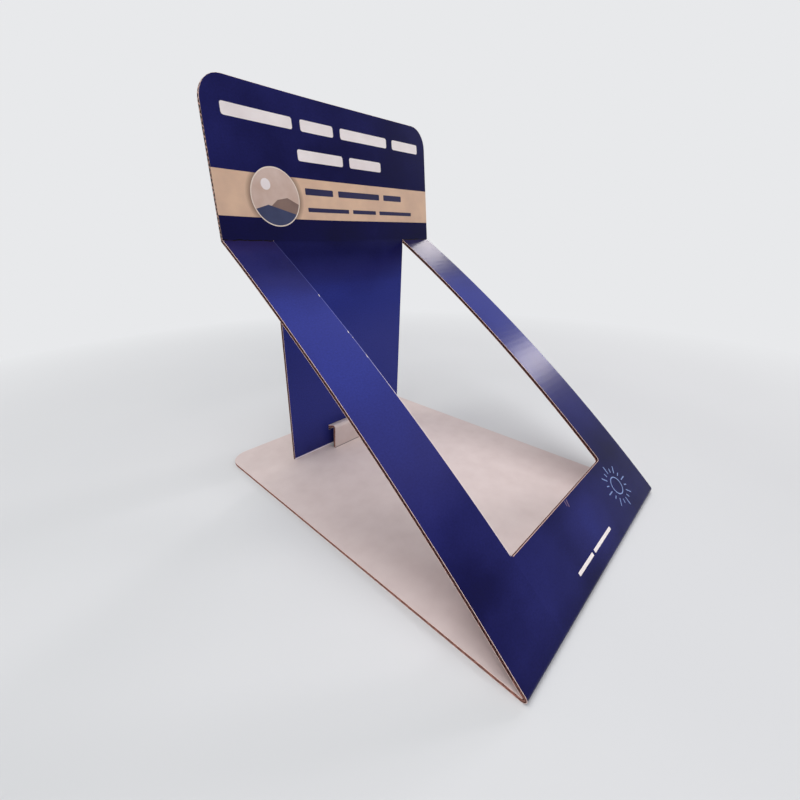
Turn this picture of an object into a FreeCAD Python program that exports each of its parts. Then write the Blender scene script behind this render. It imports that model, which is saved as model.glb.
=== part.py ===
import FreeCAD, Part
import math
import os
from collections import namedtuple

# A counter display stand, folded from one sheet of corrugated board. X runs across the stand,
# Y from its front fold to its back edge, Z up. The origin is on the table, under the middle.
# From the back edge the sheet runs forward as the base, turns over at the front fold, rises and
# bows back as the front panel, and stands up at the crease as the header. The leg is cut out of
# the front panel, so it leaves a window there, and hangs from the header down to the base. A flap
# cut out of the base stands up in front of the leg, and its lip locks into a slot in the leg.

# Overall sizes, in millimetres and degrees
stand_width = 250.0
base_depth = 347.0
header_length = 109.3
header_lean_angle = 4.8
header_inset = 4.7
header_corner_radius = 19.0
base_corner_radius = 19.0

# Front panel, measured along its bow from the front fold to the crease
panel_length = 352.0
panel_foot_angle = 44.0
panel_head_angle = 31.0
panel_taper_start = 12.0

# Window and leg, cut from the front panel
window_width = 156.5
window_sill = 52.0
window_corner_radius = 5.0
leg_lean_angle = 3.0
leg_bend_radius = 80.0
leg_foot_gap = 0.2

# Flap cut from the base, and the slot that its lip enters
flap_width = 64.0
flap_hinge_from_front = 280.0
flap_height = 24.0
flap_lean_angle = 6.0
lip_length = 22.0
lip_droop_angle = 20.0
slot_clearance = 0.5
knife_gap = 0.3

# Corrugated board: two liners with a wavy sheet between them, whose flutes run along X
board = 3.0
liner = 0.35
wave_sheet = 0.35
flute_pitch = 6.5
flute_crest = 1.1
fold_inside_radius = 0.3
flattened_beside_fold = 2.5

# Slits that weaken the crease between the arms and the header
slit_length = 7.0
slit_bridge = 5.0
slit_width = 0.8

# Sizes that follow from those above
quarter_turn_angle = 90.0
half_turn_angle = 180.0
fold_radius = fold_inside_radius + board / 2
fold_outside_radius = fold_inside_radius + board
header_heading = quarter_turn_angle - header_lean_angle
leg_width = window_width - 2 * knife_gap
flap_cut_width = flap_width + 2 * knife_gap
clear_of_board = 2 * board

# A stretch of the sheet's middle line: where it starts, its heading and length, and how far it
# turns to the left over that length. Headings are measured from +Y towards +Z.
Stretch = namedtuple("Stretch", "y z heading length turn")
Strip = namedtuple("Strip", "stretches width blank_start blank_step")


def point_on(stretch, distance, offset=0.0):
    """Point at a distance along a stretch, offset to the left of its middle line."""
    start = math.radians(stretch.heading)
    turned = math.radians(stretch.turn * distance / stretch.length)
    if stretch.turn:
        radius = distance / turned if distance else 0.0
        y = stretch.y + radius * (math.sin(start + turned) - math.sin(start))
        z = stretch.z + radius * (math.cos(start) - math.cos(start + turned))
    else:
        y = stretch.y + distance * math.cos(start)
        z = stretch.z + distance * math.sin(start)
    heading = start + turned
    return FreeCAD.Vector(0, y - offset * math.sin(heading), z + offset * math.cos(heading))


def lay_out(y, z, heading, lengths_and_turns):
    """Lay stretches end to end from a point, each tangent to the one before it."""
    stretches = []
    for length, turn in lengths_and_turns:
        stretch = Stretch(y, z, heading, length, turn)
        stretches.append(stretch)
        end = point_on(stretch, length)
        y, z, heading = end.y, end.z, heading + turn
    return stretches


def bend(turn):
    """Length and turn of a fold in the board."""
    return fold_radius * math.radians(abs(turn)), turn


def part_of(stretch, start, end):
    """The piece of a stretch between two distances along it."""
    first = point_on(stretch, start)
    turn_per_length = stretch.turn / stretch.length
    heading = stretch.heading + turn_per_length * start
    return Stretch(first.y, first.z, heading, end - start, turn_per_length * (end - start))


def side_edge(stretch, offset):
    """The line or arc that runs beside a stretch."""
    start, middle, end = (point_on(stretch, share * stretch.length, offset) for share in (0, 0.5, 1))
    if stretch.turn:
        return Part.Arc(start, middle, end).toShape()
    return Part.LineSegment(start, end).toShape()


def band_wire(stretches, thickness):
    """Closed outline of stretches thickened evenly about their middle line."""
    half = thickness / 2
    edges = [side_edge(stretch, side) for stretch in stretches for side in (half, -half)]
    for stretch, distance in ((stretches[0], 0.0), (stretches[-1], stretches[-1].length)):
        corners = point_on(stretch, distance, half), point_on(stretch, distance, -half)
        edges.append(Part.LineSegment(*corners).toShape())
    return Part.Wire(Part.sortEdges(edges)[0])


def across(face, width):
    """Extrude a side view across the stand, centred on its middle plane."""
    solid = face.extrude(FreeCAD.Vector(width, 0, 0))
    solid.translate(FreeCAD.Vector(-width / 2, 0, 0))
    return solid


def flute_wire(stretch, distance, side):
    """Outline of the open space between the wavy sheet and the liner on one side."""
    cavity = board / 2 - liner
    rise = 2 * cavity - wave_sheet
    run = flute_pitch / 2 - flute_crest
    corner = wave_sheet / 2 * math.tan(math.atan2(rise, run) / 2)
    wide = (flute_pitch - flute_crest) / 2 - corner
    narrow = flute_crest / 2 - corner
    corners = [(-wide, cavity), (wide, cavity), (narrow, cavity - rise), (-narrow, cavity - rise)]
    points = [point_on(stretch, distance + along, side * offset) for along, offset in corners]
    return Part.makePolygon(points + points[:1])


def flute_wires(strip):
    """All flutes of a strip, at places counted along the flat sheet from its back edge."""
    wires = []
    half_pitch = flute_pitch / 2
    blank = strip.blank_start
    for stretch in strip.stretches:
        blank_end = blank + strip.blank_step * stretch.length
        if stretch.length > 2 * flute_pitch:
            margin = flattened_beside_fold + half_pitch
            low, high = min(blank, blank_end) + margin, max(blank, blank_end) - margin
            for count in range(math.ceil(low / half_pitch), math.floor(high / half_pitch) + 1):
                distance = abs(count * half_pitch - blank)
                side = strip.blank_step if count % 2 else -strip.blank_step
                wires.append(flute_wire(stretch, distance, side))
        blank = blank_end
    return wires


def fluted(strip):
    """A strip of corrugated board, open at both ends of every flute."""
    wires = [band_wire(strip.stretches, board)] + flute_wires(strip)
    return across(Part.makeFace(wires, "Part::FaceMakerBullseye"), strip.width)


def main_stretches():
    """Base, front fold, front panel, crease and header, from the back edge on."""
    base = base_depth - fold_outside_radius
    return lay_out(base_depth / 2, board / 2, half_turn_angle, [
        (base, 0.0),
        bend(panel_foot_angle - half_turn_angle),
        (panel_length, panel_head_angle - panel_foot_angle),
        bend(header_heading - panel_head_angle),
        (header_length, 0.0)])


def leg_stretches(header):
    """The leg, from the header's foot down to just above the base."""
    turn = header_lean_angle + leg_lean_angle
    bent = lay_out(header.y, header.z, header.heading + half_turn_angle,
                   [(leg_bend_radius * math.radians(turn), turn)])
    knee = point_on(bent[0], bent[0].length)
    lean = math.radians(leg_lean_angle)
    foot_z = board + leg_foot_gap + board / 2 * math.sin(lean)
    heading = header.heading + half_turn_angle + turn
    return bent + lay_out(knee.y, knee.z, heading, [((knee.z - foot_z) / math.cos(lean), 0.0)])


def flap_stretches():
    """The flap, from its hinge in the base up to its top fold and back along its lip."""
    hinge = flap_hinge_from_front - base_depth / 2
    rise = quarter_turn_angle + flap_lean_angle
    return lay_out(hinge, board / 2, 0.0, [
        bend(rise), (flap_height, 0.0), bend(-rise - lip_droop_angle), (lip_length, 0.0)])


def window_cutters(panel, header):
    """The window's prism, with round lower corners, and a block that opens it up to the crease."""
    band = across(Part.Face(band_wire([part_of(panel, window_sill, panel.length)], 3 * board)),
                  window_width)
    sill = point_on(panel, window_sill)
    corners = [edge for edge in band.Edges
               if abs(edge.CenterOfMass.sub(sill).Length - window_width / 2) < knife_gap
               and edge.Length < stand_width / 2]
    crease_block = lay_out(header.y, header.z, header.heading + half_turn_angle, [(clear_of_board, 0.0)])
    return [band.makeFillet(window_corner_radius, corners),
            across(Part.Face(band_wire(crease_block, 2 * clear_of_board)), window_width)]


def corner_cutter(corner, inward_x, inward, normal, radius):
    """What rounding takes off a square corner, through the board along a normal."""
    centre = corner + (inward_x + inward) * radius
    diagonal = (inward_x + inward).normalize()
    ends = centre - inward_x * radius, centre - inward * radius
    edges = [Part.LineSegment(ends[0], corner).toShape(), Part.LineSegment(corner, ends[1]).toShape(),
             Part.Arc(ends[1], centre - diagonal * radius, ends[0]).toShape()]
    face = Part.Face(Part.Wire(edges))
    face.translate(normal * -clear_of_board)
    return face.extrude(normal * 2 * clear_of_board)


def rounding_cutters(header):
    """Round corners of the base's back edge and of the header's top edge."""
    cutters = []
    top = point_on(header, header.length)
    down = (point_on(header, 0.0) - top).normalize()
    front = (point_on(header, 0.0, 1.0) - point_on(header, 0.0)).normalize()
    for side in (-1, 1):
        inward_x = FreeCAD.Vector(-side, 0, 0)
        back = FreeCAD.Vector(side * stand_width / 2, base_depth / 2, board / 2)
        cutters.append(corner_cutter(back, inward_x, FreeCAD.Vector(0, -1, 0),
                                     FreeCAD.Vector(0, 0, 1), base_corner_radius))
        header_edge = FreeCAD.Vector(side * (stand_width / 2 - header_inset), top.y, top.z)
        cutters.append(corner_cutter(header_edge, inward_x, down, front, header_corner_radius))
    return cutters


def taper_cutters(header):
    """The front panel narrows evenly from near the front fold to the header's width."""
    start = panel_taper_start - base_depth / 2
    top = point_on(header, header.length)
    cutters = []
    for side in (-1, 1):
        outer, inner = side * stand_width / 2, side * (stand_width / 2 - header_inset)
        beyond, behind = side * stand_width, top.y + clear_of_board
        plan = [(outer, start), (inner, header.y), (inner, behind), (beyond, behind), (beyond, start)]
        floor = board + knife_gap
        points = [FreeCAD.Vector(x, y, floor) for x, y in plan]
        face = Part.Face(Part.makePolygon(points + points[:1]))
        cutters.append(face.extrude(FreeCAD.Vector(0, 0, top.z + clear_of_board)))
    return cutters


def flap_hole_cutter():
    """The hole that the flap leaves in the base when it stands up."""
    length = sum(stretch.length for stretch in flap_stretches()) + knife_gap
    hole = Part.makeBox(flap_cut_width, length, 2 * board)
    hinge = flap_hinge_from_front - base_depth / 2
    hole.translate(FreeCAD.Vector(-flap_cut_width / 2, hinge, -board / 2))
    return hole


def slit_cutters(crease):
    """A row of slits along the crease of each arm."""
    arm = (stand_width - window_width) / 2 - header_inset
    count = math.floor((arm - slit_bridge) / (slit_length + slit_bridge))
    first = (arm - count * slit_length - (count - 1) * slit_bridge) / 2
    half = slit_width / 2
    middle = crease.length / 2
    stretch = part_of(crease, middle - half, middle + half)
    knife = Stretch(stretch.y, stretch.z, stretch.heading + stretch.turn / 2, slit_width, 0.0)
    slit = across(Part.Face(band_wire([knife], 2 * clear_of_board)), slit_length)
    cutters = []
    for side in (-1, 1):
        for number in range(count):
            place = window_width / 2 + first + slit_length / 2 + number * (slit_length + slit_bridge)
            cutters.append(slit.translated(FreeCAD.Vector(side * place, 0, 0)))
    return cutters


def slot_cutter(lip):
    """The slot in the leg, a little larger than the lip that passes through it."""
    band = band_wire([lip], board + 2 * slot_clearance)
    return across(Part.Face(band), flap_width + 2 * slot_clearance)


def folded_sheet():
    """The whole stand as one solid."""
    stretches = main_stretches()
    base, front_fold, panel, crease, header = stretches
    blank_to_crease = base.length + front_fold.length + panel.length + crease.length
    blank_to_hinge = base_depth - flap_hinge_from_front
    flap_path = flap_stretches()
    sheet = fluted(Strip(stretches, stand_width, 0.0, 1))
    sheet = sheet.cut(window_cutters(panel, header) + taper_cutters(header) + rounding_cutters(header)
                      + slit_cutters(crease) + [flap_hole_cutter()])
    leg = fluted(Strip(leg_stretches(header), leg_width, blank_to_crease, -1)).cut(slot_cutter(flap_path[-1]))
    flap = fluted(Strip(flap_path, flap_width, blank_to_hinge, -1))
    return sheet.fuse([leg, flap]).removeSplitter()


sheet = folded_sheet()
os.makedirs("parts", exist_ok=True)
sheet.exportStep("parts/folded_board.step")
print("solids", len(sheet.Solids), "valid", sheet.isValid(), "volume cm3", round(sheet.Volume / 1000, 1))
print("box", sheet.BoundBox)
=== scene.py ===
import bmesh
import bpy
import math
from collections import namedtuple
from mathutils import Matrix, Vector


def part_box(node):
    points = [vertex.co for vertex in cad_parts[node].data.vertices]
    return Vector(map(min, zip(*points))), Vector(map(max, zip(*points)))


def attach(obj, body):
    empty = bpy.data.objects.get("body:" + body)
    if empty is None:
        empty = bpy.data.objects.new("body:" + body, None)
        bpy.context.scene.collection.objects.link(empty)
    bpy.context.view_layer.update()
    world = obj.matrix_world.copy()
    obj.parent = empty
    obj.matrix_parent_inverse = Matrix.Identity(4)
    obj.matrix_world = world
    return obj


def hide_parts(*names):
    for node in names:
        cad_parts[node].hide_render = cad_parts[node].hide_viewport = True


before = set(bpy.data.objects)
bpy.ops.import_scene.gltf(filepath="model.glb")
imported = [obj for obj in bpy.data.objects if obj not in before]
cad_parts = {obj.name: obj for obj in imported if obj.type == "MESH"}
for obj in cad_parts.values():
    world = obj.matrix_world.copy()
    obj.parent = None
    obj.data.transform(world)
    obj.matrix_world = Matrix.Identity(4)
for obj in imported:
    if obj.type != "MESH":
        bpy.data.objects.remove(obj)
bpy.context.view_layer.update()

# Folding the sheet
# The stand is one sheet of corrugated board, cut flat and then folded. Everything on it is drawn
# flat first: X across, Y along the sheet from the base's back edge, Z above its middle layer, with
# the printed side up. Folding then lays the drawing along the stand's side view.
low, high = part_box("folded_board")
stand_half = high.x
base_depth = high.y - low.y
board = 0.003
fold_radius = 0.0018
panel_length, panel_foot_angle, panel_head_angle = 0.352, 44.0, 31.0
header_length, header_inset, header_lean = 0.1093, 0.0047, 4.8
leg_half, leg_lean, leg_bend_radius, leg_foot_gap = 0.07795, 3.0, 0.08, 0.0002
window_half, window_sill = 0.07825, 0.052
flap_half, flap_hinge, flap_height, lip_length = 0.032, 0.28, 0.024, 0.022
flap_lean, lip_droop, knife_gap = 6.0, 20.0, 0.0003
# Use has warped the stand a little: its left side rises, goes back, twists and draws in.
left_rise, left_push, header_twist, header_taper, panel_sag = 0.0024, 0.002, 0.0066, 0.0018, 0.0012

Stretch = namedtuple("Stretch", "y z heading length turn")


def on_stretch(stretch, distance, lift=0.0):
    """Side view point at a distance along a stretch, lifted to its left."""
    start = math.radians(stretch.heading)
    turned = math.radians(stretch.turn) * distance / stretch.length
    if abs(turned) > 1e-9:
        radius = distance / turned
        y = stretch.y + radius * (math.sin(start + turned) - math.sin(start))
        z = stretch.z + radius * (math.cos(start) - math.cos(start + turned))
    else:
        y = stretch.y + distance * math.cos(start)
        z = stretch.z + distance * math.sin(start)
    heading = start + turned
    return y - lift * math.sin(heading), z + lift * math.cos(heading)


def lay_out(y, z, heading, lengths_and_turns):
    """Stretches laid end to end, each tangent to the one before it."""
    stretches = []
    for length, turn in lengths_and_turns:
        stretches.append(Stretch(y, z, heading, length, turn))
        y, z = on_stretch(stretches[-1], length)
        heading += turn
    return stretches


def bend(turn):
    """Length and turn of a fold."""
    return fold_radius * math.radians(abs(turn)), turn


def length_of(stretches):
    """Length along the sheet of stretches laid end to end."""
    return sum(stretch.length for stretch in stretches)


main_route = lay_out(high.y, board / 2, 180.0, [
    (base_depth - fold_radius - board / 2, 0.0),
    bend(panel_foot_angle - 180.0),
    (panel_length, panel_head_angle - panel_foot_angle),
    bend(90.0 - header_lean - panel_head_angle),
    (header_length, 0.0)])
header_foot = main_route[-1]
leg_turn = header_lean + leg_lean
leg_route = lay_out(header_foot.y, header_foot.z, header_foot.heading + 180.0,
                    [(leg_bend_radius * math.radians(leg_turn), leg_turn)])
knee_y, knee_z = on_stretch(leg_route[0], leg_route[0].length)
foot_z = board + leg_foot_gap + board / 2 * math.sin(math.radians(leg_lean))
shin_length = (knee_z - foot_z) / math.cos(math.radians(leg_lean))
leg_route += lay_out(knee_y, knee_z, 270.0 + leg_lean, [(shin_length, 0.0)])
flap_route = lay_out(low.y + flap_hinge, board / 2, 0.0, [
    bend(90.0 + flap_lean), (flap_height, 0.0), bend(-90.0 - flap_lean - lip_droop), (lip_length, 0.0)])

fold_at = main_route[0].length
panel_at = fold_at + main_route[1].length
crease_at = panel_at + panel_length
header_at = crease_at + main_route[3].length
sheet_end = header_at + header_length
hinge_at = base_depth - flap_hinge
sill_at = panel_at + window_sill
leg_end = header_at - length_of(leg_route)
flap_end = hinge_at - length_of(flap_route)

# The lip goes through a slot in the leg, cut straight through the board where the two cross.
shin, lip = leg_route[-1], flap_route[-1]
shin_way, lip_way = math.radians(shin.heading), math.radians(lip.heading)
shin_to_lip = (shin.z - lip.z) * math.cos(lip_way) - (shin.y - lip.y) * math.sin(lip_way)
shin_to_lip /= math.sin(lip_way - shin_way)
slot_at = header_at - leg_route[0].length - shin_to_lip
slot_clearance = 0.0005
slot_half = flap_half + slot_clearance
slot_tilt = math.radians(leg_lean + lip_droop)
slot_rise = (board / 2 + slot_clearance) / math.cos(slot_tilt) + board / 2 * math.tan(slot_tilt)


def on_route(route, distance, lift):
    """Side view point at a distance along stretches laid end to end, lifted to their left."""
    for stretch in route[:-1]:
        if distance <= stretch.length:
            return on_stretch(stretch, distance, lift)
        distance -= stretch.length
    return on_stretch(route[-1], distance, lift)


def fold(point):
    """Where a point of the flat drawing lies on the folded stand."""
    edge = knife_gap / 2
    left = max(0.0, -point.x / stand_half) ** 2
    share = max(0.0, point.y - header_at) / header_length
    x = point.x
    if abs(point.x) < leg_half + edge and leg_end - edge < point.y < header_at:
        y, z = on_route(leg_route, header_at - point.y, -point.z)
        climb = (point.y - leg_end) / (header_at - leg_end)
        y += left_push * left * climb
        z += left_rise * left * climb
    elif abs(point.x) < flap_half + edge and flap_end - edge / 2 < point.y < hinge_at:
        y, z = on_route(flap_route, hinge_at - point.y, -point.z)
    else:
        y, z = on_route(main_route, point.y, point.z)
        climb = min(1.0, max(0.0, point.y - panel_at) / panel_length)
        x += header_taper * left * share
        y += (left_push * climb ** 2 - header_twist * share) * left
        z += left_rise * left * climb ** 2 * (1.0 - share) - panel_sag * math.sin(math.pi * climb)
    return Vector((x, y, z))


# The printed liner
# The outer sheet of white paper, printed deep blue with a satin varnish on the front panel, the
# leg and the header. A steel rule die cuts the outline, the window with its leg, the base's flap
# and the slits of the crease in one stroke. Past the front fold the paper stays white.
liner = 0.00035
base_corner, header_corner, window_corner, corner_segments = 0.019, 0.019, 0.0028, 8
taper_at = panel_at + 0.012
hole_end = flap_end - knife_gap
slit_length, slit_bridge, slit_width = 0.007, 0.005, 0.0005
slit_place = (crease_at + header_at) / 2
print_end = fold_at - 0.005
die_crush, base_crush, panel_crush = 0.0001, 0.9, 0.35
cut_tolerance, merge_tolerance, sharp_angle = 1e-7, 1e-6, 15.0


def blank_half():
    """Right half of the blank as one flat face with rounded corners."""
    bm = bmesh.new()
    header_half = stand_half - header_inset
    outline = [
        (0, 0, 0), (stand_half, 0, base_corner), (stand_half, taper_at, 0), (header_half, header_at, 0),
        (header_half, sheet_end, header_corner), (0, sheet_end, 0), (0, slot_at + slot_rise, 0),
        (slot_half, slot_at + slot_rise, 0), (slot_half, slot_at - slot_rise, 0),
        (0, slot_at - slot_rise, 0), (0, leg_end, 0), (leg_half, leg_end, 0), (leg_half, header_at, 0),
        (window_half, header_at, 0), (window_half, sill_at, window_corner), (0, sill_at, 0),
        (0, flap_end, 0), (flap_half, flap_end, 0), (flap_half, hinge_at, 0),
        (flap_half + knife_gap, hinge_at, 0), (flap_half + knife_gap, hole_end, 0), (0, hole_end, 0)]
    corners = [bm.verts.new((x, y, 0)) for x, y, radius in outline]
    bm.faces.new(corners)
    for corner, (x, y, radius) in zip(corners, outline):
        if radius:
            bmesh.ops.bevel(bm, geom=[corner], offset=radius, offset_type="OFFSET",
                            segments=corner_segments, profile=0.5, affect="VERTICES", material=-1)
    return bm


def cut_rows(bm, places):
    """Cut a flat drawing across at each place along the sheet."""
    remaining = list(bm.faces)
    for place in sorted(set(places)):
        edges = {edge for face in remaining for edge in face.edges}
        verts = {vert for face in remaining for vert in face.verts}
        cut = bmesh.ops.bisect_plane(bm, geom=[*verts, *edges, *remaining], dist=cut_tolerance,
                                     plane_co=(0, place, 0), plane_no=(0, 1, 0))
        remaining = [part for part in cut["geom"] if isinstance(part, bmesh.types.BMFace)
                     and part.calc_center_median().y > place]


def cut_column(bm, faces, place):
    """Cut some faces of a flat drawing along the sheet."""
    parts = {part for face in faces for part in (*face.verts, *face.edges, face)}
    bmesh.ops.bisect_plane(bm, geom=list(parts), dist=cut_tolerance, plane_co=(place, 0, 0),
                           plane_no=(1, 0, 0))


def cut_header(bm, columns):
    """Cut the header into columns as well, so that it can warp."""
    for place in columns:
        cut_column(bm, [face for face in bm.faces if face.calc_center_median().y > header_at], place)


def places_between(start, end, step):
    """Evenly spaced places from start to end, about a step apart."""
    count = max(1, round((end - start) / step))
    return [start + (end - start) * number / count for number in range(count + 1)]


def cut_slits(bm):
    """A row of slits through the crease of the arm."""
    arm = stand_half - window_half - header_inset
    count = math.floor((arm - slit_bridge) / (slit_length + slit_bridge))
    first = window_half + (arm - count * slit_length - (count - 1) * slit_bridge) / 2
    for number in range(count):
        start = first + number * (slit_length + slit_bridge)
        for side in (start, start + slit_length):
            cut_column(bm, [face for face in bm.faces if in_slit_row(face)], side)
        slit = [face for face in bm.faces if in_slit_row(face)
                and start < face.calc_center_median().x < start + slit_length]
        bmesh.ops.delete(bm, geom=slit, context="FACES")


def in_slit_row(face):
    """Whether a face of the flat drawing is in the row where the slits are cut."""
    centre = face.calc_center_median()
    return abs(centre.y - slit_place) < slit_width / 2 and centre.x > window_half


def thicken(bm, under, over):
    """Give a flat drawing its thickness, between two heights, with the ways of the sheet as UVs."""
    sides = bmesh.ops.extrude_face_region(bm, geom=bm.faces[:])
    for vert in bm.verts:
        vert.co.z = under
    for part in sides["geom"]:
        if isinstance(part, bmesh.types.BMVert):
            part.co.z = over
    bmesh.ops.recalc_face_normals(bm, faces=bm.faces)
    ways = bm.loops.layers.uv.new("sheet")
    for face in bm.faces:
        for loop in face.loops:
            loop[ways].uv = (loop.vert.co.x + stand_half, loop.vert.co.y)


def folded_piece(name, bm, *materials):
    """Fold a flat drawing and make it a piece of the stand."""
    for vert in bm.verts:
        vert.co = fold(vert.co)
    mesh = bpy.data.meshes.new(name)
    bm.to_mesh(mesh)
    bm.free()
    mesh.shade_smooth()
    mesh.set_sharp_from_angle(angle=math.radians(sharp_angle))
    for material in materials:
        mesh.materials.append(material)
    piece = bpy.data.objects.new(name, mesh)
    bpy.context.scene.collection.objects.link(piece)
    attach(piece, "root")
    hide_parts("folded_board")
    return piece


def surface(name, roughness, colour):
    """A new node material: the material, its nodes and links, and its shader."""
    material = bpy.data.materials.new(name)
    material.use_nodes = True
    nodes = material.node_tree.nodes
    shader = nodes["Principled BSDF"]
    shader.inputs["Roughness"].default_value = roughness
    shader.inputs["Base Color"].default_value = paint(*colour)
    return material, nodes, material.node_tree.links, shader


def paint(red, green, blue):
    """A screen colour, 0 to 255, as the linear colour that a shader takes."""
    return tuple(((part / 255 + 0.055) / 1.055) ** 2.4 if part > 10 else part / 3295 for part in
                 (red, green, blue)) + (1.0,)


def grey(value):
    """A linear colour without hue."""
    return value, value, value, 1.0


def noise(nodes, links, source, scale, detail, stretch=(1.0, 1.0, 1.0)):
    """Noise on a coordinate output, with the pattern drawn out by a scale for each way."""
    mapping = nodes.new("ShaderNodeMapping")
    mapping.inputs["Scale"].default_value = stretch
    texture = nodes.new("ShaderNodeTexNoise")
    texture.inputs["Scale"].default_value = scale
    texture.inputs["Detail"].default_value = detail
    links.new(source, mapping.inputs["Vector"])
    links.new(mapping.outputs["Vector"], texture.inputs["Vector"])
    return texture.outputs["Fac"]


def ramp(nodes, links, source, *stops):
    """Colours at places along a value. The ramp spans only the stops, so fine lines stay sharp."""
    first, last = stops[0][0], stops[-1][0]
    span = nodes.new("ShaderNodeMapRange")
    span.inputs["From Min"].default_value = first
    span.inputs["From Max"].default_value = last
    node = nodes.new("ShaderNodeValToRGB")
    elements = node.color_ramp.elements
    while len(elements) < len(stops):
        elements.new(0.5)
    for element, (place, colour) in zip(elements, stops):
        element.position = (place - first) / (last - first)
        element.color = colour
    links.new(source, span.inputs["Value"])
    links.new(span.outputs["Result"], node.inputs["Fac"])
    return node.outputs["Color"]


def shades(nodes, links, source, *stops):
    """Greys at places along a value."""
    return ramp(nodes, links, source, *((place, grey(value)) for place, value in stops))


def stripe(nodes, links, source, places, colour):
    """A colour between the second and third of four places, that fades out to the first and last."""
    return ramp(nodes, links, source, *zip(places, (grey(0.0), colour, colour, grey(0.0))))


def blend(nodes, links, way, under, over):
    """Two colours multiplied, added or otherwise blended."""
    node = nodes.new("ShaderNodeMix")
    node.data_type = "RGBA"
    node.blend_type = way
    node.inputs["Factor"].default_value = 1.0
    links.new(under, node.inputs["A"])
    links.new(over, node.inputs["B"])
    return node.outputs["Result"]


def add_share(nodes, links, value, share, source):
    """A value with a share of another added."""
    node = nodes.new("ShaderNodeMath")
    node.operation = "MULTIPLY_ADD"
    node.inputs[1].default_value = share
    links.new(source, node.inputs[0])
    links.new(value, node.inputs[2])
    return node.outputs["Value"]


def sheet_ways(nodes, links):
    """The ways of the sheet in metres: both as one vector, across from the left edge, and along."""
    ways = nodes.new("ShaderNodeUVMap").outputs["UV"]
    split = nodes.new("ShaderNodeSeparateXYZ")
    links.new(ways, split.inputs["Vector"])
    return ways, split.outputs["X"], split.outputs["Y"]


def distance_from(nodes, links, ways, x, along):
    """Distance on the sheet from a point of the drawing."""
    node = nodes.new("ShaderNodeVectorMath")
    node.operation = "DISTANCE"
    node.inputs[1].default_value = (stand_half + x, along, 0)
    links.new(ways, node.inputs[0])
    return node.outputs["Value"]


def relief(nodes, links, shader, height, distance):
    """Raise the surface by a height pattern, on top of any relief already there."""
    bump = nodes.new("ShaderNodeBump")
    bump.inputs["Strength"].default_value = 1.0
    bump.inputs["Distance"].default_value = distance
    if shader.inputs["Normal"].links:
        links.new(shader.inputs["Normal"].links[0].from_socket, bump.inputs["Normal"])
    links.new(height, bump.inputs["Height"])
    links.new(bump.outputs["Normal"], shader.inputs["Normal"])


flute_pitch = 0.0065
printed_ridge, bare_ridge, paper_grain = 0.000012, 0.000015, 0.00001
along_only, wave_texture_rate = (1.0, 0.0, 1.0), 20


def washboard(nodes, links, ways, bands=1.0, shift=0.0):
    """Bands in step with the flutes, as the faint ridges that they show through the paper."""
    mapping = nodes.new("ShaderNodeMapping")
    mapping.inputs["Scale"].default_value = (0.0, 1.0, 0.0)
    wave = nodes.new("ShaderNodeTexWave")
    wave.wave_type = "BANDS"
    wave.bands_direction = "Y"
    wave.inputs["Scale"].default_value = bands * 2 * math.pi / flute_pitch / wave_texture_rate
    wave.inputs["Phase Offset"].default_value = shift
    wave.inputs["Distortion"].default_value = 0.0
    links.new(ways, mapping.inputs["Vector"])
    links.new(mapping.outputs["Vector"], wave.inputs["Vector"])
    return wave.outputs["Fac"]


blue_print, nodes, links, shader = surface("blue_print", 0.26, (26, 26, 84))
ways, across, along = sheet_ways(nodes, links)
over_leg = stripe(nodes, links, across,
                  (stand_half - leg_half - knife_gap, stand_half - leg_half,
                   stand_half + leg_half, stand_half + leg_half + knife_gap), grey(1.0))

# The blue is cloudy, and its tone along the sheet is painted light and shade: palest halfway up the arms,
# deep towards the crease and at the front fold.
glow = shades(nodes, links, along, (0.345, 0.05), (0.36, 0.12), (0.385, 0.13), (0.4, 0.08),
              (0.44, 0.17), (0.52, 0.38), (0.6, 0.55), (0.628, 0.44), (0.645, 0.24), (0.665, 0.13),
              (0.69, 0.13), (0.7, 0.1), (0.703, 0.04), (0.72, 0.03), (0.81, 0.06))
# Painted light: the blue over the leg is made paler, fading out at its foot and its top.
leg_painted_light = shades(nodes, links, along, (0.48, 0.02), (0.55, 0.16), (0.6, 0.26), (0.66, 0.28), (0.69, 0.0))
tone = blend(nodes, links, "ADD", glow, blend(nodes, links, "MULTIPLY", leg_painted_light, over_leg))
header_left = blend(nodes, links, "MULTIPLY",
                    shades(nodes, links, across, (0.0, 0.12), (0.15, 0.03), (0.25, 0.0)),
                    shades(nodes, links, along, (0.715, 0.0), (0.75, 1.0)))
tone = blend(nodes, links, "ADD", tone, header_left)
for x, above_fold, size, strength in ((0.009, 0.021, 0.035, 0.16), (-0.079, 0.018, 0.05, 0.06)):
    from_cloud = distance_from(nodes, links, ways, x, panel_at + above_fold)
    cloud = shades(nodes, links, from_cloud, (0.0, strength), (size, 0.0))
    tone = blend(nodes, links, "ADD", tone, cloud)
tone = add_share(nodes, links, tone, 0.35, noise(nodes, links, ways, 14.0, 5.0))
tint = ramp(nodes, links, tone, (0.1, paint(11, 9, 46)), (0.24, paint(14, 14, 70)),
            (0.42, paint(36, 38, 106)), (0.68, paint(45, 54, 140)))
grain = shades(nodes, links, noise(nodes, links, ways, 700.0, 3.0), (0.3, 0.8), (0.7, 1.0))
tint = blend(nodes, links, "MULTIPLY", tint, grain)
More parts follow.
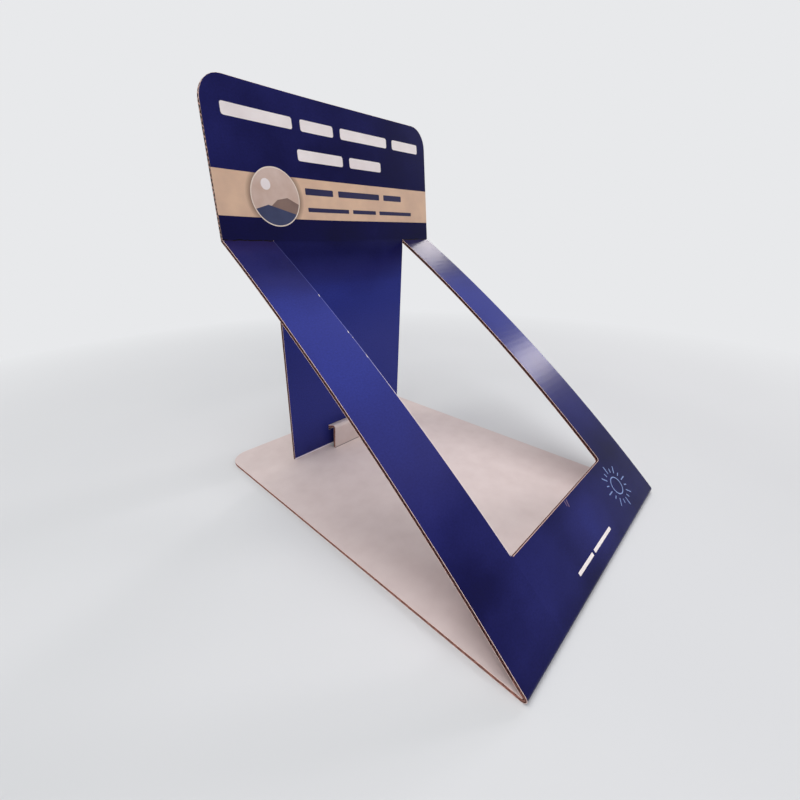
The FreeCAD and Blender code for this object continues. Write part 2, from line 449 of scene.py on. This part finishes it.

# A dark line is painted along the arms' crease, uneven and with breaks in it: painted shade of the crease
# and its slits, and torn ink along the cut.
crease_shade_at = slit_place + 0.002
wobble = add_share(nodes, links, along, 0.004, noise(nodes, links, ways, 130.0, 4.0, along_only))
crease_shade_and_crack = shades(nodes, links, wobble, (crease_shade_at - 0.0018, 1.0), (crease_shade_at - 0.0014, 0.1),
                (crease_shade_at + 0.0009, 0.1), (crease_shade_at + 0.0013, 1.0))
breaks = shades(nodes, links, noise(nodes, links, ways, 150.0, 2.0, along_only), (0.55, 0.0), (0.62, 0.7))
for cover in (breaks, over_leg):
    crease_shade_and_crack = blend(nodes, links, "LIGHTEN", crease_shade_and_crack, cover)
tint = blend(nodes, links, "MULTIPLY", tint, crease_shade_and_crack)

# The die has worn the ink off the window's edges: along the left arm, less towards the crease,
# and along the sill. The paper is bare at the leg's foot too.
arm_edge, right_arm = stand_half - window_half, stand_half + window_half
worn_edge = stripe(nodes, links, across,
                   (arm_edge - 0.0004, arm_edge - 0.00025, arm_edge + 0.00005, arm_edge + 0.0001),
                   grey(1.0))
worn_colour = ramp(nodes, links, along, (sill_at + 0.0008, grey(0.0)),
                   (sill_at + 0.002, paint(236, 224, 230)), (0.53, paint(236, 224, 230)),
                   (0.56, paint(160, 162, 212)), (0.6, paint(116, 122, 190)), (0.65, paint(78, 84, 156)),
                   (header_at - 0.001, paint(60, 62, 112)), (header_at, grey(0.0)))
worn_edge = blend(nodes, links, "MULTIPLY", worn_edge, worn_colour)
worn_sill = stripe(nodes, links, along,
                   (sill_at - 0.0003, sill_at - 0.0002, sill_at + 0.0001, sill_at + 0.0002),
                   paint(190, 150, 142))
over_sill = stripe(nodes, links, across,
                   (arm_edge + 0.001, arm_edge + 0.002, right_arm - 0.0035, right_arm - 0.002), grey(1.0))
worn_sill = blend(nodes, links, "MULTIPLY", worn_sill, over_sill)
for wear in (worn_edge, worn_sill):
    tint = blend(nodes, links, "LIGHTEN", tint, wear)
bare_foot = stripe(nodes, links, along,
                   (leg_end - 0.0004, leg_end - 0.0002, leg_end + 0.0014, leg_end + 0.0017),
                   paint(240, 232, 232))
bare_foot = blend(nodes, links, "MULTIPLY", bare_foot, over_leg)

# Painted sheen: a thin grey sheen is added on the middle of the arms, and a reddish sheen on the arms
# under the crease.
painted_sheen = stripe(nodes, links, along, (0.44, 0.48, 0.6, 0.64), (0.008, 0.007, 0.008, 1.0))
painted_crease_sheen = stripe(nodes, links, along, (0.68, 0.695, 0.7, 0.702), (0.01, 0.005, 0.0, 1.0))
beside_leg = shades(nodes, links, across, (arm_edge, 1.0), (arm_edge + 0.0003, 0.0),
                    (stand_half + leg_half, 0.0), (right_arm, 1.0))
painted_crease_sheen = blend(nodes, links, "MULTIPLY", painted_crease_sheen, beside_leg)
for layer in (painted_sheen, painted_crease_sheen, bare_foot):
    tint = blend(nodes, links, "ADD", tint, layer)
links.new(tint, shader.inputs["Base Color"])
relief(nodes, links, shader, washboard(nodes, links, ways), printed_ridge)
relief(nodes, links, shader, noise(nodes, links, ways, 900.0, 3.0), paper_grain)
shader.inputs["Specular IOR Level"].default_value = 0.09

# Bare paper, with a dark line of painted shade along the fold that the flap turns up on.
white_paper, nodes, links, shader = surface("white_paper", 0.62, (205, 193, 190))
ways, across, along = sheet_ways(nodes, links)
tint = ramp(nodes, links, noise(nodes, links, ways, 60.0, 8.0), (0.2, paint(212, 196, 193)),
            (0.5, paint(218, 203, 200)), (0.8, paint(223, 209, 206)))
flap_fold_shade = shades(nodes, links, along, (hinge_at - 0.0034, 1.0), (hinge_at - 0.0028, 0.35),
               (hinge_at + 0.0002, 0.35), (hinge_at + 0.0005, 1.0))
beside_flap = shades(nodes, links, across, (stand_half - flap_half - knife_gap, 1.0),
                     (stand_half - flap_half, 0.0), (stand_half + flap_half, 0.0),
                     (stand_half + flap_half + knife_gap, 1.0))
flap_fold_shade = blend(nodes, links, "LIGHTEN", flap_fold_shade, beside_flap)
links.new(blend(nodes, links, "MULTIPLY", tint, flap_fold_shade), shader.inputs["Base Color"])
relief(nodes, links, shader, washboard(nodes, links, ways), bare_ridge)
relief(nodes, links, shader, noise(nodes, links, ways, 700.0, 4.0), paper_grain)

# The liners' cut edges are white, and darker along the header.
paper_edge, nodes, links, shader = surface("paper_edge", 0.8, (222, 206, 198))
place = nodes.new("ShaderNodeTexCoord").outputs["Object"]
ways, across, along = sheet_ways(nodes, links)
tint = ramp(nodes, links, noise(nodes, links, place, 700.0, 3.0), (0.3, paint(228, 192, 184)),
            (0.6, paint(252, 226, 218)))
header_edge_darkening = shades(nodes, links, along, (0.7, 1.0), (0.704, 0.25), (0.785, 0.25), (0.795, 1.0))
links.new(blend(nodes, links, "MULTIPLY", tint, header_edge_darkening), shader.inputs["Base Color"])

# Brown kraft inside the board. The base's edge is paler, as the die has pressed it flat. Along the header
# it is darker, as painted shade in the flutes' hollows.
kraft, nodes, links, shader = surface("kraft", 0.95, (50, 26, 21))
place = nodes.new("ShaderNodeTexCoord").outputs["Object"]
ways, across, along = sheet_ways(nodes, links)
mottle = shades(nodes, links, noise(nodes, links, place, 500.0, 4.0), (0.3, 0.5), (0.7, 1.0))
tint = ramp(nodes, links, along, (0.34, paint(190, 130, 114)), (0.36, paint(66, 28, 20)),
            (0.69, paint(66, 28, 20)), (0.705, paint(30, 9, 7)))
links.new(blend(nodes, links, "MULTIPLY", tint, mottle), shader.inputs["Base Color"])

# Rows and columns fine enough for the folds, the panel's bow and the warp.
crease_row, arc_step, bow_step, crease_step = 0.00025, 0.0004, 0.006, 0.003
lip_at = flap_end + lip_length
header_rows = places_between(header_at, sheet_end, 0.004)
header_columns = places_between(-0.11875, 0.0, 0.00625) + places_between(0.0125, 0.1125, 0.0125)
outer_rows = (
    header_rows + places_between(fold_at, panel_at, arc_step)
    + places_between(panel_at, crease_at, bow_step)
    + places_between(header_at - 0.012, crease_at, crease_step)
    + [crease_at + crease_row, slit_place - slit_width / 2, slit_place + slit_width / 2,
       header_at - crease_row, header_at, print_end]
    + places_between(hinge_at - flap_route[0].length, hinge_at, arc_step)
    + places_between(lip_at, lip_at + flap_route[2].length, arc_step))


def blank(rows):
    """The whole flat blank, cut into rows that can follow the folds."""
    bm = blank_half()
    cut_rows(bm, rows)
    cut_slits(bm)
    bmesh.ops.mirror(bm, geom=[*bm.verts, *bm.edges, *bm.faces], axis="X",
                     merge_dist=merge_tolerance)
    cut_header(bm, header_columns)
    return bm


def liner_piece(name, bm, outer, under, over, edge, *materials):
    """A liner of the board. Its materials: outer face, cut edges, face past an edge, inner face."""
    thicken(bm, under, over)
    face_side = [face for face in bm.faces if face.normal.z * outer > 0.5]
    rim = bmesh.ops.inset_region(bm, faces=face_side, thickness=die_crush, use_boundary=True,
                                 use_even_offset=True)["faces"]
    for face in bm.faces:
        centre = face.calc_center_median()
        face.material_index = 1
        # The slits' walls take the dark kraft instead of the paper edge, as painted shade inside the
        # slits.
        slit_wall_in_painted_shade = abs(face.normal.z) < 0.5 and abs(centre.y - slit_place) < slit_width
        if slit_wall_in_painted_shade or face.normal.z * outer < -0.5:
            face.material_index = 3
    for face in face_side:
        face.material_index = 2 if face.calc_center_median().y < edge else 0
    for face in rim:
        centre = face.calc_center_median()
        along_slit = abs(centre.y - slit_place) < slit_width / 2 + die_crush
        along_window = abs(centre.x + window_half) < die_crush and sill_at < centre.y < header_at
        if along_slit or along_window:
            face.material_index = 0
    crushed = {vert for face in rim for vert in face.verts}
    crushed -= {vert for face in face_side for vert in face.verts}
    for vert in crushed:
        if abs(vert.co.y - slit_place) > slit_width / 2 + merge_tolerance:
            vert.co.z -= outer * die_crush * (base_crush if vert.co.y < fold_at else panel_crush)
    return folded_piece(name, bm, *materials)


liner_piece("printed_liner", blank(outer_rows), 1, board / 2 - liner, board / 2, print_end,
            blue_print, paper_edge, white_paper, kraft)

# The inner liner
# White paper without print, glued to the flutes on the board's other side and die-cut with it. It
# is the top of the base, and the back of the panel, the leg and the header.
liner_piece("inner_liner", blank(outer_rows), -1, -board / 2, liner - board / 2, 0.0,
            white_paper, paper_edge, white_paper, kraft)

# The wavy sheet
# Brown paper pressed into flutes and glued between the liners. It shows at every cut edge, and is
# crushed flat beside the folds.
wave_sheet = 0.0009
crest = board / 2 - liner - wave_sheet / 2
flattened = 0.004
squareness, slope_step = 1.3, 1e-5
folds = (fold_at + main_route[1].length / 2, slit_place)


def wave_height(along):
    """Height of the wavy sheet's middle, less where a fold has crushed it."""
    near = min(abs(along - place) for place in folds)
    full = min(1.0, near / flattened)
    wave = squareness * math.sin(2 * math.pi * along / flute_pitch)
    return crest * full * max(-1.0, min(1.0, wave))


wave_rows = places_between(0.0, sheet_end, flute_pitch / 10)
bm = blank(wave_rows + [slit_place - slit_width / 2, slit_place + slit_width / 2])
thicken(bm, -0.5, 0.5)
for face in bm.faces:
    face.material_index = 1 if abs(face.normal.z) < 0.5 else 0
for vert in bm.verts:
    climb = wave_height(vert.co.y + slope_step) - wave_height(vert.co.y - slope_step)
    slope = climb / (2 * slope_step)
    vert.co.z = wave_height(vert.co.y) + vert.co.z * wave_sheet * math.hypot(1.0, slope)

# The flutes' cut ends are smeared by the die. Along the header they are painted bright, with a painted
# highlight on their flanks and painted shade at their crests.
brown_edge, nodes, links, shader = surface("brown_edge", 0.85, (132, 92, 78))
place = nodes.new("ShaderNodeTexCoord").outputs["Object"]
ways, across, along = sheet_ways(nodes, links)
edge_tint_and_highlight = ramp(nodes, links, along, (0.34, paint(190, 130, 114)), (0.36, paint(106, 50, 40)),
             (0.69, paint(106, 50, 40)), (0.705, paint(255, 200, 184)))
mottle = shades(nodes, links, noise(nodes, links, place, 500.0, 3.0), (0.3, 0.4), (0.65, 1.0))
flanks = shades(nodes, links, washboard(nodes, links, ways, 2.0, math.pi), (0.2, 0.15), (0.6, 1.0))
below_header = shades(nodes, links, along, (0.69, 1.0), (0.703, 0.0))
mottle = blend(nodes, links, "MULTIPLY", mottle, blend(nodes, links, "LIGHTEN", flanks, below_header))
links.new(blend(nodes, links, "MULTIPLY", edge_tint_and_highlight, mottle), shader.inputs["Base Color"])
folded_piece("wavy_sheet", bm, kraft, brown_edge)

# The print on the header
# Fields of ink over the blue: a beige band with a round picture on it, and rows of plain bars
# where such a stand has its words. Each field is a film a few hundredths of a millimetre thick.
ink = 0.00003
band_low, band_high = header_at + 0.0173, header_at + 0.0493
picture_x, picture_at, picture_radius = -0.07, header_at + 0.0332, 0.0222
bar_segments, disc_segments, small_disc_segments = 4, 96, 48


def printed_shape(name, bm, layer, *materials):
    """A field of ink on the printed liner, over as many layers of ink as are under it."""
    if all(vert.co.y > header_at for vert in bm.verts):
        cut_rows(bm, header_rows)
        cut_header(bm, header_columns)
    thicken(bm, board / 2 + (layer - 1) * ink, board / 2 + layer * ink)
    return folded_piece(name, bm, *materials)


def bar(bm, x, along, length, height, radius, turn=0.0):
    """A flat bar from its left end, round at its corners and turned about its middle."""
    corners = [bm.verts.new((x + a * length, along + b * height / 2, 0))
               for a, b in ((0, -1), (1, -1), (1, 1), (0, 1))]
    bm.faces.new(corners)
    if radius:
        made = bmesh.ops.bevel(bm, geom=corners, offset=radius, offset_type="OFFSET",
                               segments=bar_segments, profile=0.5, affect="VERTICES", material=-1)
        corners = made["verts"]
    bmesh.ops.rotate(bm, verts=corners, cent=(x + length / 2, along, 0),
                     matrix=Matrix.Rotation(math.radians(turn), 3, "Z"))


def bars(name, layer, material, height, radius, rows):
    """Rows of bars, each bar given by its left end, its place along the sheet and its length."""
    bm = bmesh.new()
    for x, along, length in rows:
        bar(bm, x, along, length, height, radius)
    return printed_shape(name, bm, layer, material)


def ink_surface(name, roughness, dark, light):
    """Ink with the print's slight mottling, between two colours."""
    material, nodes, links, shader = surface(name, roughness, light)
    ways = nodes.new("ShaderNodeUVMap").outputs["UV"]
    tint = ramp(nodes, links, noise(nodes, links, ways, 40.0, 5.0), (0.3, paint(*dark)),
                (0.7, paint(*light)))
    links.new(tint, shader.inputs["Base Color"])
    relief(nodes, links, shader, washboard(nodes, links, ways), printed_ridge)
    shader.inputs["Specular IOR Level"].default_value = 0.3
    return material


band_ink = ink_surface("band_ink", 0.4, (208, 174, 152), (230, 195, 166))
pale_ink = ink_surface("pale_ink", 0.4, (238, 228, 228), (250, 243, 242))
navy_ink = ink_surface("navy_ink", 0.4, (24, 22, 62), (30, 28, 76))

# The round picture has a soft printed shadow on the band.
nodes, links = band_ink.node_tree.nodes, band_ink.node_tree.links
shader = nodes["Principled BSDF"]
ways = nodes.new("ShaderNodeUVMap").outputs["UV"]
halo = ramp(nodes, links, distance_from(nodes, links, ways, picture_x, picture_at),
            (picture_radius, paint(176, 172, 172)), (picture_radius + 0.0045, paint(255, 255, 255)))
band_colour = shader.inputs["Base Color"].links[0].from_socket
links.new(blend(nodes, links, "MULTIPLY", band_colour, halo), shader.inputs["Base Color"])

bm = bmesh.new()
header_side = stand_half - header_inset
bar(bm, -header_side, (band_low + band_high) / 2, 2 * header_side, band_high - band_low, 0.0)
printed_shape("beige_band", bm, 1, band_ink)
title_at, second_at = header_at + 0.0885, header_at + 0.0665
third_at, fourth_at = header_at + 0.0395, header_at + 0.0252
bars("title_bars", 1, pale_ink, 0.0085, 0.0018, [
    (-0.106, title_at, 0.060), (-0.038, title_at, 0.034), (0.004, title_at, 0.058),
    (0.070, title_at, 0.038), (-0.044, second_at, 0.048), (0.012, second_at, 0.040)])
bars("upper_band_bars", 2, navy_ink, 0.0052, 0.0008, [
    (-0.041, third_at, 0.030), (-0.005, third_at, 0.052), (0.053, third_at, 0.026)])
bars("lower_band_bars", 2, navy_ink, 0.0034, 0.0006, [
    (-0.040, fourth_at, 0.046), (0.011, fourth_at, 0.030), (0.046, fourth_at, 0.048)])


def picture_field(name, layer, radius, material, cuts=()):
    """A disc of the round picture, cut off along lines given by a point and a slope."""
    bm = bmesh.new()
    bmesh.ops.create_circle(bm, cap_ends=True, segments=disc_segments, radius=radius)
    for x, y, slope in cuts:
        angle = math.radians(slope)
        bmesh.ops.bisect_plane(bm, geom=[*bm.verts, *bm.edges, *bm.faces], plane_co=(x, y, 0),
                               plane_no=(-math.sin(angle), math.cos(angle), 0), clear_outer=True)
    bmesh.ops.translate(bm, verts=bm.verts, vec=(picture_x, picture_at, 0))
    return printed_shape(name, bm, layer, material)


picture_rim = ink_surface("picture_rim", 0.4, (226, 210, 198), (240, 226, 216))
picture_sky = ink_surface("picture_sky", 0.4, (196, 166, 150), (224, 204, 196))
picture_far = ink_surface("picture_far", 0.4, (122, 98, 92), (142, 118, 108))
picture_near = ink_surface("picture_near", 0.4, (46, 52, 84), (62, 70, 104))
inside_rim = picture_radius - 0.0009
sun_x, sun_rise, sun_radius = -0.008, 0.009, 0.0042
picture_field("picture_rim", 2, picture_radius, picture_rim)
picture_field("picture_sky", 3, inside_rim, picture_sky)
picture_field("picture_far_hill", 4, inside_rim, picture_far,
              ((0.006, 0.002, 38.0), (0.006, 0.002, -24.0), (-0.004, -0.003, 12.0)))
picture_field("picture_near_hill", 5, inside_rim, picture_near,
              ((-0.008, -0.006, 18.0), (-0.008, -0.006, -14.0)))
bm = bmesh.new()
bmesh.ops.create_circle(bm, cap_ends=True, segments=small_disc_segments, radius=sun_radius)
bmesh.ops.translate(bm, verts=bm.verts, vec=(picture_x + sun_x, picture_at + sun_rise, 0))
printed_shape("picture_sun", bm, 4, pale_ink)

# The print on the front panel
# Printed over the blue, under the window: a small star of fine pale blue strokes round a ring,
# and two short bars in the pale ink of the header.
star_x, star_at, star_radius, stroke = 0.076, panel_at + 0.0265, 0.019, 0.0010
star_rays, ring_share, ray_start, long_ray, short_ray = 16, 0.42, 0.62, 1.0, 0.82
star_ink = ink_surface("star_ink", 0.4, (116, 138, 196), (142, 164, 214))
bm = bmesh.new()
bmesh.ops.create_circle(bm, cap_ends=True, segments=small_disc_segments,
                        radius=star_radius * ring_share)
ring = bmesh.ops.inset_region(bm, faces=bm.faces[:], thickness=stroke, use_boundary=True,
                              use_even_offset=True)
inside = [face for face in bm.faces if face not in ring["faces"]]
bmesh.ops.delete(bm, geom=inside, context="FACES")
bmesh.ops.translate(bm, verts=bm.verts, vec=(star_x, star_at, 0))
for number in range(star_rays):
    turn = 360.0 * number / star_rays
    ray_end = long_ray if number % 2 == 0 else short_ray
    length = (ray_end - ray_start) * star_radius
    way = Vector((math.cos(math.radians(turn)), math.sin(math.radians(turn))))
    middle = way * (ray_start + ray_end) / 2 * star_radius
    bar(bm, star_x + middle.x - length / 2, star_at + middle.y, length, stroke, stroke * 0.45, turn)
printed_shape("star_print", bm, 1, star_ink)
bars("front_bars", 1, pale_ink, 0.0026, 0.0005, [
    (-0.034, panel_at + 0.0115, 0.026), (-0.005, panel_at + 0.0115, 0.034)])

# Wear
# Paper laid bare by the die and by handling. Small chips in the ink of the left arm, at the
# window's edge, and a faint scuff of three strokes beside the sill, all as thin as the ink.
chip_ink = ink_surface("chip_ink", 0.8, (214, 204, 204), (236, 228, 226))
scuff_ink = ink_surface("scuff_ink", 0.8, (84, 68, 104), (112, 90, 118))
bm = bmesh.new()
for above_fold, length, width in (
        (0.2822, 0.0026, 0.0005), (0.2419, 0.0020, 0.0006), (0.2176, 0.0034, 0.0005),
        (0.236, 0.0012, 0.0004), (0.162, 0.0016, 0.0004)):
    middle_x = -window_half - width * 0.75
    bar(bm, middle_x - length / 2, panel_at + above_fold, length, width, width * 0.4, 84.0)
printed_shape("window_chips", bm, 1, chip_ink)
bm = bmesh.new()
for x, above_fold, length, width, radius, turn in (
        (-0.0022, 0.0490, 0.0044, 0.0010, 0.0004, 78.0),
        (-0.0006, 0.0480, 0.0056, 0.0012, 0.0005, 72.0),
        (0.0012, 0.0492, 0.0036, 0.0008, 0.0003, 66.0)):
    bar(bm, x, panel_at + above_fold, length, width, radius, turn)
printed_shape("sill_scuff", bm, 1, scuff_ink)

# The camera
# It stands in front of the stand on the left, a little above the middle of the arms, with a wide
# lens. Its place, turn and lens come from the stand's corners and edges as the photo shows them.
camera_data = bpy.data.cameras.new("photo_camera")
camera = bpy.data.objects.new("photo_camera", camera_data)
bpy.context.scene.collection.objects.link(camera)
bpy.context.scene.camera = camera
camera.location = (-0.2589, -0.2099, 0.2271)
camera.rotation_euler = (math.radians(66.614), math.radians(0.05), math.radians(-46.48))
camera_data.sensor_width = 36.0
camera_data.lens = 17.448
camera_data.clip_start = 0.01

# The room
# A pale floor that carries the stand's shadow and fades into a pale world. One large soft lamp
# hangs overhead, two fill in from the left and the front, and two small ones on the right show in
# the varnish of the right arm.
floor_half, floor_gap = 4.0, 0.0001
mesh = bpy.data.meshes.new("floor")
bm = bmesh.new()
bmesh.ops.create_grid(bm, x_segments=1, y_segments=1, size=floor_half)
bmesh.ops.translate(bm, verts=bm.verts, vec=(0, 0, -floor_gap))
bm.to_mesh(mesh)
bm.free()
floor = bpy.data.objects.new("floor", mesh)
bpy.context.scene.collection.objects.link(floor)
backdrop_colour = (232, 233, 235)
pale_floor, nodes, links, shader = surface("pale_floor", 0.75, (222, 224, 226))
place = nodes.new("ShaderNodeTexCoord").outputs["Object"]
tint = ramp(nodes, links, noise(nodes, links, place, 3.0, 2.0), (0.3, paint(221, 223, 225)),
            (0.7, paint(225, 227, 229)))
links.new(tint, shader.inputs["Base Color"])
shader.inputs["Specular IOR Level"].default_value = 0.1
distance = nodes.new("ShaderNodeVectorMath")
distance.operation = "LENGTH"
links.new(place, distance.inputs[0])
far = shades(nodes, links, distance.outputs["Value"], (0.35, 0.0), (0.9, 1.0))
seen = nodes.new("ShaderNodeLightPath").outputs["Is Camera Ray"]
faded = nodes.new("ShaderNodeMath")
faded.operation = "MULTIPLY"
links.new(far, faded.inputs[0])
links.new(seen, faded.inputs[1])
glow = nodes.new("ShaderNodeEmission")
glow.inputs["Color"].default_value = paint(*backdrop_colour)
choice = nodes.new("ShaderNodeMixShader")
links.new(faded.outputs["Value"], choice.inputs["Fac"])
links.new(shader.outputs["BSDF"], choice.inputs[1])
links.new(glow.outputs["Emission"], choice.inputs[2])
links.new(choice.outputs["Shader"], nodes["Material Output"].inputs["Surface"])
mesh.materials.append(pale_floor)


def lamp(name, place, aim, width, power, colour=(1.0, 1.0, 1.0)):
    """A square soft lamp at a place, facing a point."""
    light = bpy.data.lights.new(name, "AREA")
    light.color = colour
    light.shape = "SQUARE"
    light.size = width
    light.energy = power
    lamp_object = bpy.data.objects.new(name, light)
    lamp_object.location = place
    direction = Vector(aim) - Vector(place)
    lamp_object.rotation_euler = direction.to_track_quat("-Z", "Y").to_euler()
    bpy.context.scene.collection.objects.link(lamp_object)


lamp("overhead", (-0.3, 0.05, 1.6), (0, 0, 0.1), 1.2, 16.2)
lamp("left_fill", (-1.6, 0.3, 0.5), (0, 0, 0.15), 0.8, 1.3, (1.0, 0.95, 0.93))
lamp("front_fill", (-0.5, -1.3, 0.7), (0, 0, 0.15), 0.9, 6.0, (1.0, 0.96, 0.95))
lamp("arm_top_lamp", (1.33, 0.5, 1.14), (0.1, 0.1, 0.2), 0.22, 2.6, (1.0, 0.93, 0.95))
lamp("arm_middle_lamp", (1.5, -0.36, 0.85), (0.1, 0.0, 0.15), 0.2, 3.9, (1.0, 0.93, 0.95))

world = bpy.data.worlds.new("studio")
bpy.context.scene.world = world
world.use_nodes = True
nodes, links = world.node_tree.nodes, world.node_tree.links
soft_light = nodes["Background"]
soft_light.inputs["Color"].default_value = (0.85, 0.86, 0.88, 1)
soft_light.inputs["Strength"].default_value = 0.28
backdrop = nodes.new("ShaderNodeBackground")
backdrop.inputs["Color"].default_value = paint(*backdrop_colour)
backdrop.inputs["Strength"].default_value = 1.0
rays = nodes.new("ShaderNodeLightPath")
seen = None
for kind in ("Is Camera Ray", "Is Glossy Ray", "Is Transmission Ray"):
    if seen is None:
        seen = rays.outputs[kind]
    else:
        either = nodes.new("ShaderNodeMath")
        either.operation = "MAXIMUM"
        links.new(seen, either.inputs[0])
        links.new(rays.outputs[kind], either.inputs[1])
        seen = either.outputs["Value"]
choice = nodes.new("ShaderNodeMixShader")
links.new(seen, choice.inputs["Fac"])
links.new(soft_light.outputs["Background"], choice.inputs[1])
links.new(backdrop.outputs["Background"], choice.inputs[2])
links.new(choice.outputs["Shader"], nodes["World Output"].inputs["Surface"])
bpy.context.scene.view_settings.view_transform = "Standard"
